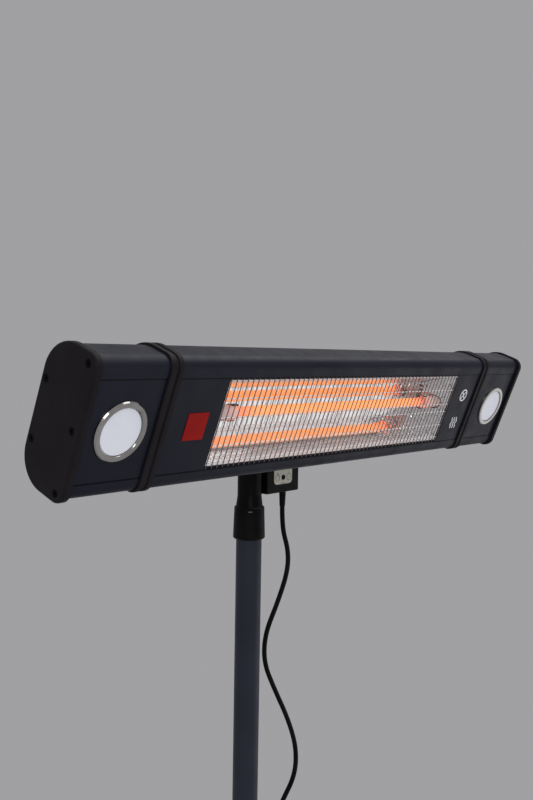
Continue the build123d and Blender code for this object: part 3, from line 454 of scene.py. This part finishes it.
node_finishes = {
    "housing_paint": "housing_extrusion lamp_panel_left lamp_panel_right face_panel_left"
    " face_panel_right",
    "cap_moulding": "end_cap_left end_cap_right divider_ring_left divider_ring_right",
    "black_moulding": "tilt_knob_left tilt_knob_right post_head pole_collar control_box_shell"
    " control_box_lid head_gland power_button",
    "cord_rubber": "strain_relief mains_cord cord_coil cord_tail plug_body",
    "polished_ring": "lamp_bezel_left lamp_bezel_right",
    "milky_lens": "lamp_lens_left lamp_lens_right",
    "hammered_sheet": "reflector_trough reflector_end_left reflector_end_right lamp_cups",
    "dim_plated_metal": "front_grille",
    "quartz": "quartz_tube",
    "glowing_carbon": "heating_element",
    "glazed_ceramic": "tube_ceramics terminal_block",
    "zinc": "tube_holder_left tube_holder_right thermal_cutout pivot_studs lug_screws pole_coupler",
    "black_screw": "end_cap_screws control_box_screws stand_bolts",
    "bracket_paint": "tilt_lug_left tilt_lug_right tilt_strap",
    "red_plate": "badge_plate",
    "beige_plate": "control_plate",
    "green_board": "control_board lamp_boards",
    "white_case": "lamp_driver",
    "lead_sleeve": "head_wiring",
    "pole_paint": "pole_upper pole_lower base_socket",
    "base_paint": "base_plate",
    "foot_rubber": "rubber_feet",
    "nickel": "plug_pins",
}


def dress_nodes(finishes):
    for material, names in node_finishes.items():
        for name in names.split():
            piece = nodes[name]
            piece.data.materials.clear()
            piece.data.materials.append(finishes[material])


# The mains cord

# Control points down the pole, over the base and to the coil, in millimetres
cord_route = [
    (62, -9, 1619),
    (62, -9, 1588),
    (74, -12, 1554),
    (74.5, -11, 1522),
    (63.5, -2.5, 1478),
    (49.5, 9, 1432),
    (49, 10, 1390),
    (62, 0, 1350),
    (80, -12, 1304),
    (92.5, -19, 1259),
    (92, -18, 1217),
    (76, -6, 1178),
    (60, 5, 1130),
    (52, 9, 1072),
    (56, 7, 1004),
    (68, 1, 932),
    (76, -2, 856),
    (76, -1, 776),
    (67, 5, 698),
    (58, 10, 618),
    (57, 11, 534),
    (63, 10, 450),
    (69, 12, 366),
    (72, 19, 288),
    (70, 31, 216),
    (67, 47, 152),
    (65, 68, 98),
    (64, 98, 55),
    (63, 135, 30),
    (63.5, 176, 19),
    (62, 216, 19.5),
    (60.5, 254, 21.5),
    (60.2, 284, 8.5),
    (60, 310, 3.6),
    (60, 327, 3.6),
]
cord_tail = [(-6, 378.1, 11.2), (-18, 378.1, 13.2), (-34, 378.1, 18), (-49, 378.1, 18.3)]
coil_centre = (14, 334)
coil_radius = 46.0
coil_pitch = 7.6
coil_low = 3.6
coil_turns_in = 2
coil_climb = 0.5
coil_turns_out = 1.75
points_per_turn = 16


def coil_points():
    """Control points of the coil: inwards on the floor, then outwards on top of it."""
    inner = coil_radius - coil_pitch * coil_turns_in
    pull = math.cos(math.pi / points_per_turn)
    turns = coil_turns_in + coil_climb + coil_turns_out
    points = []
    for count in range(1, round(turns * points_per_turn) + 1):
        turn = count / points_per_turn
        climbed = min(max((turn - coil_turns_in) / coil_climb, 0), 1)
        if turn <= coil_turns_in:
            radius = coil_radius - coil_pitch * turn
        elif climbed < 1:
            radius = inner - coil_pitch * climbed * (1 - climbed) / 2
        else:
            radius = inner + coil_pitch * (turn - coil_turns_in - coil_climb)
        height = coil_low + coil_pitch * climbed**2 * (3 - 2 * climbed)
        angle = 2 * math.pi * turn
        x = coil_centre[0] + radius / pull * math.cos(angle)
        y = coil_centre[1] + radius / pull * math.sin(angle)
        points.append((x, y, height))
    return points


def add_cord(material):
    """The whole mains cord as one smooth line, from its strain relief to the plug."""
    data = bpy.data.curves.new("mains_cord_line", "CURVE")
    data.dimensions = "3D"
    data.resolution_u = 8
    data.bevel_depth = cord_diameter / 2
    data.bevel_resolution = 4
    data.use_fill_caps = True
    spline = data.splines.new("NURBS")
    route = cord_route + coil_points() + cord_tail
    spline.points.add(len(route) - 1)
    for point, place in zip(spline.points, route):
        point.co = (*(Vector(place) * mm), 1)
    spline.order_u = 3
    spline.use_endpoint_u = True
    data.materials.append(material)
    cord = bpy.data.objects.new("mains_cord_line", data)
    bpy.context.scene.collection.objects.link(cord)
    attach(cord, "stand")
    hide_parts("mains_cord", "cord_coil", "cord_tail")


# Repeated pieces, each grown by a tree of Geometry Nodes

class Tree:
    """A geometry tree with named number inputs."""

    def __init__(self, name, **inputs):
        self.group = bpy.data.node_groups.new(name, "GeometryNodeTree")
        self.ids = {}
        interface = self.group.interface
        interface.new_socket("Geometry", in_out="INPUT", socket_type="NodeSocketGeometry")
        interface.new_socket("Geometry", in_out="OUTPUT", socket_type="NodeSocketGeometry")
        for label, value in inputs.items():
            kind = "NodeSocketInt" if isinstance(value, int) else "NodeSocketFloat"
            socket = interface.new_socket(label, in_out="INPUT", socket_type=kind)
            self.ids[label] = (socket.identifier, value)
        self.given = self.group.nodes.new("NodeGroupInput").outputs

    def node(self, kind, settings=None, **wires):
        """Adds a node; each wire is a socket to join or a plain value."""
        node = self.group.nodes.new(kind)
        for label, value in (settings or {}).items():
            setattr(node, label, value)
        for label, value in wires.items():
            numbered = label.startswith("in")
            socket = node.inputs[int(label[2:]) if numbered else label.replace("_", " ")]
            if isinstance(value, bpy.types.NodeSocket):
                self.group.links.new(value, socket)
            else:
                socket.default_value = value
        return node.outputs[0]

    def sum(self, kind, first, second):
        return self.node("ShaderNodeMath", {"operation": kind}, in0=first, in1=second)

    def vector(self, x=0.0, y=0.0, z=0.0):
        return self.node("ShaderNodeCombineXYZ", X=x, Y=y, Z=z)

    def coated(self, geometry, material):
        return self.node("GeometryNodeSetMaterial", Geometry=geometry, Material=material)

    def grow(self, name, parts, points=(), place=head_place):
        """Runs the tree on an object of bare points and keeps the plain mesh."""
        group = self.group
        join = group.nodes.new("GeometryNodeJoinGeometry")
        for geometry, material in parts:
            real = self.node("GeometryNodeRealizeInstances", Geometry=geometry)
            group.links.new(self.coated(real, material), join.inputs[0])
        done = join.outputs[0]
        group.links.new(done, group.nodes.new("NodeGroupOutput").inputs[0])
        seed = bpy.data.meshes.new(name)
        seed.from_pydata(points, [], [])
        piece = bpy.data.objects.new(name, seed)
        bpy.context.scene.collection.objects.link(piece)
        modifier = piece.modifiers.new("grow", "NODES")
        modifier.node_group = group
        for identifier, value in self.ids.values():
            modifier[identifier] = value
        shown = piece.evaluated_get(bpy.context.evaluated_depsgraph_get())
        grown = bpy.data.meshes.new_from_object(shown)
        piece.modifiers.remove(modifier)
        piece.data = grown
        grown.transform(place)
        return piece


def add_grille(upright_shade_finish, row_highlight_finish):
    """Round upright wires, welded in front of the long ones. The uprights' dark tint is a painted dark
    reflection and the long rows' white a painted highlight, on wires that are all one metal.
    """
    tree = Tree(
        "grille_wires", Wire_radius=wire_radius, Pitch=wire_pitch, Count=wire_count,
        Height=window_height, Length=window_length,
    )
    given = tree.given
    radius, pitch = given["Wire_radius"], given["Pitch"]
    gaps = tree.sum("SUBTRACT", given["Count"], 1.0)
    start = tree.sum("MULTIPLY", tree.sum("MULTIPLY", gaps, pitch), -0.5)
    line = tree.node(
        "GeometryNodeMeshLine", Count=given["Count"],
        Start_Location=tree.vector(x=start, y=upright_y), Offset=tree.vector(x=pitch),
    )
    upright = tree.node("GeometryNodeMeshCylinder", Vertices=10, Radius=radius, Depth=given["Height"])
    bar = tree.node("GeometryNodeMeshCylinder", Vertices=10, Radius=radius, Depth=given["Length"])
    level = tree.node("GeometryNodeTransform", Geometry=bar, Rotation=(0, math.pi / 2, 0))
    uprights = tree.node("GeometryNodeInstanceOnPoints", Points=line, Instance=upright)
    rows = tree.node("GeometryNodeInstanceOnPoints", Points=given["Geometry"], Instance=level)
    places = [(0, upright_y + 2 * wire_radius, z * mm) for z in wire_rows]
    return tree.grow("grille_wires", [(uprights, upright_shade_finish), (rows, row_highlight_finish)], places)


def add_ribbon(material):
    """The carbon ribbon, wound along the tube."""
    turns = round(2 * glow_half / ribbon_pitch)
    tree = Tree(
        "wound_ribbon", Turns=float(turns), Radius=ribbon_radius, Length=2 * glow_half,
        Ribbon_width=ribbon_width, Ribbon_thickness=ribbon_gauge,
    )
    given = tree.given
    spiral = tree.node(
        "GeometryNodeCurveSpiral", Resolution=14, Rotations=given["Turns"], Start_Radius=given["Radius"],
        End_Radius=given["Radius"], Height=given["Length"],
    )
    section = tree.node(
        "GeometryNodeCurvePrimitiveQuadrilateral", Width=given["Ribbon_thickness"],
        Height=given["Ribbon_width"],
    )
    ribbon = tree.node("GeometryNodeCurveToMesh", Curve=spiral, Profile_Curve=section)
    half = tree.sum("MULTIPLY", given["Length"], -0.5)
    laid = tree.node(
        "GeometryNodeTransform", Geometry=ribbon, Rotation=(0, math.pi / 2, 0),
        Translation=tree.vector(x=half, y=tube_y, z=tube_z),
    )
    return tree.grow("wound_ribbon", [(laid, material)])


# Printed marks, and dark strips and shells of painted shade

def new_piece(name, mesh, material, place):
    mesh.transform(place)
    mesh.materials.append(material)
    piece = bpy.data.objects.new(name, mesh)
    bpy.context.scene.collection.objects.link(piece)
    return piece


def closed_mesh(work, name):
    bmesh.ops.recalc_face_normals(work, faces=work.faces)
    mesh = bpy.data.meshes.new(name)
    work.to_mesh(mesh)
    work.free()
    return mesh


def printed(name, strokes, width, material, place, lift=0.12 * mm):
    """Flat printed strokes along lines of (x, z) points, in the plane y = 0 facing -Y."""
    work = bmesh.new()
    for points in strokes:
        closed = (Vector(points[0]) - Vector(points[-1])).length < 1e-6
        line = [Vector(p) for p in (points[:-1] if closed else points)]
        edges = []
        for i, point in enumerate(line):
            before = line[i - 1] if i or closed else point
            after = line[(i + 1) % len(line)] if closed or i + 1 < len(line) else point
            way = (after - before).normalized()
            side = Vector((-way.y, way.x)) * width / 2
            edges.append((point + side, point - side))
        pairs = []
        for outer, inner in edges:
            pairs.append([work.verts.new((p.x, y, p.y)) for p in (outer, inner) for y in (-lift, 0)])
        count = len(pairs)
        for i in range(count if closed else count - 1):
            a, b = pairs[i], pairs[(i + 1) % count]
            for p, q in ((0, 2), (2, 3), (3, 1), (1, 0)):
                work.faces.new((a[p], a[q], b[q], b[p]))
        if not closed:
            for end in (pairs[0], pairs[-1]):
                work.faces.new((end[0], end[2], end[3], end[1]))
    return new_piece(name, closed_mesh(work, name), material, place)


def arc(x, z, radius, start, end, steps=28):
    """Points of an arc, its angles in degrees."""
    points = []
    for count in range(steps + 1):
        angle = math.radians(start + (end - start) * count / steps)
        points.append((x + radius * math.cos(angle), z + radius * math.sin(angle)))
    if abs(end - start) == 360:
        points[-1] = points[0]
    return points


def add_face_marks(material):
    """Two plain symbols beside the window: a lamp and rising warmth."""
    reach = mark_size * 0.68
    strokes = [arc(mark_x, lamp_mark_z, mark_size, 0, 360)]
    for side in (-1, 1):
        strokes.append([
            (mark_x - reach, lamp_mark_z - side * reach),
            (mark_x + reach, lamp_mark_z + side * reach),
        ])
    for step in (-1, 0, 1):
        wave = []
        for count in range(wave_steps + 1):
            part = 2 * count / wave_steps
            swing = wave_swing * math.sin(2 * math.pi * part)
            wave.append((mark_x + step * wave_spacing + swing, warmth_mark_z + mark_size * (part - 1)))
        strokes.append(wave)
    place = head_place @ Matrix.Translation((0, panel_front, 0))
    return printed("face_marks", strokes, 2.0 * mm, material, place)


def add_tube_end_shade(material):
    """A dark shell round the back of each end of the tube: painted shade, standing for the shaded back of
    the tube's holder.
    """
    work = bmesh.new()
    for side in (-1, 1):
        near = side * (glow_half + clip_start)
        far = near + side * shade_shell_width
        loops = []
        for count in range(shade_shell_steps + 1):
            turn = math.radians(shade_shell_wrap * (2 * count / shade_shell_steps - 1))
            walls = (shade_shell_radius, shade_shell_radius + shade_shell_gauge)
            spots = [(x, radius) for x in (near, far) for radius in walls]
            loops.append([
                work.verts.new((x, tube_y + radius * math.cos(turn), tube_z + radius * math.sin(turn)))
                for x, radius in spots
            ])
        for a, b in zip(loops, loops[1:]):
            for p, q in ((0, 1), (1, 3), (3, 2), (2, 0)):
                work.faces.new((a[p], a[q], b[q], b[p]))
        for end in (loops[0], loops[-1]):
            work.faces.new((end[0], end[1], end[3], end[2]))
    return new_piece("tube_end_shade", closed_mesh(work, "tube_end_shade"), material, head_place)


def add_seam_shade(material):
    """Painted shade: dark lines standing for the shade in the grooves where the face panels meet the
    housing.
    """
    strokes = [[(-seam_reach, z), (seam_reach, z)] for z in (-seam_z, seam_z)]
    return printed("panel_seam_shade", strokes, 1.0 * mm, material, head_place)


def add_plate_marks(material):
    """Faint open rings and a bar round the button on the control plate."""
    low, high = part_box("control_plate")
    button_low, button_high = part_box("power_button")
    x, z = (button_low.x + button_high.x) / 2, (button_low.z + button_high.z) / 2
    strokes = []
    for side in (-1, 1):
        centre = x + side * 12.6 * mm
        strokes.append(arc(centre, z, 4.6 * mm, 20 + 90 * side, 200 + 90 * side))
        strokes.append(arc(centre, z, 4.6 * mm, 220 + 90 * side, 350 + 90 * side))
        strokes.append([(centre, z + 2.4 * mm), (centre, z + 7.4 * mm)])
    strokes.append([(x - 4.5 * mm, z - 8.2 * mm), (x + 4.5 * mm, z - 8.2 * mm)])
    place = Matrix.Translation((0, low.y, 0))
    return printed("plate_marks", strokes, 0.9 * mm, material, place, 0.1 * mm)


def add_collar_mark(material):
    """A short raised line of dim plated metal near the front of the collar's top."""
    low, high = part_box("pole_collar")
    radius = (high.x - low.x) / 2 - 1.1 * mm
    strokes = [[(-3 * mm, 0), (3 * mm, 0)]]
    turn = Matrix.Rotation(math.radians(-46), 4, "Z")
    place = turn @ Matrix.Translation((0, -radius, high.z - 5.5 * mm))
    return printed("collar_mark", strokes, 0.6 * mm, material, place, 0.35 * mm)


add_camera()
set_world()
add_floor()
add_softbox("top_softbox", (1.5, -0.9, 4.2), (0.8, -0.5, 1.7), 4.0, 2.6, 62)
add_softbox("front_softbox", (-2.4, -2.9, 2.9), (0, -0.1, 1.6), 1.6, 1.6, 40)
add_softbox("low_softbox", (2.9, -2.0, 0.5), (0, -0.2, 1.7), 2.8, 1.8, 9)
finishes = make_finishes()
dress_nodes(finishes)
add_cord(finishes["cord_rubber"])

grille = add_grille(finishes["dim_plated_metal"], finishes["bright_wire"])
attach(grille, "head")
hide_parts("front_grille")
ribbon = add_ribbon(finishes["glowing_carbon"])
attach(ribbon, "head")
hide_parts("heating_element")
face_marks = add_face_marks(finishes["white_print"])
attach(face_marks, "head")
tube_end_shade_piece = add_tube_end_shade(finishes["black_screw"])
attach(tube_end_shade_piece, "head")
seam_shade_lines = add_seam_shade(finishes["black_moulding"])
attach(seam_shade_lines, "head")
plate_marks = add_plate_marks(finishes["brown_print"])
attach(plate_marks, "stand")
collar_mark = add_collar_mark(finishes["dim_plated_metal"])
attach(collar_mark, "stand")

bpy.context.scene.view_settings.view_transform = "Standard"
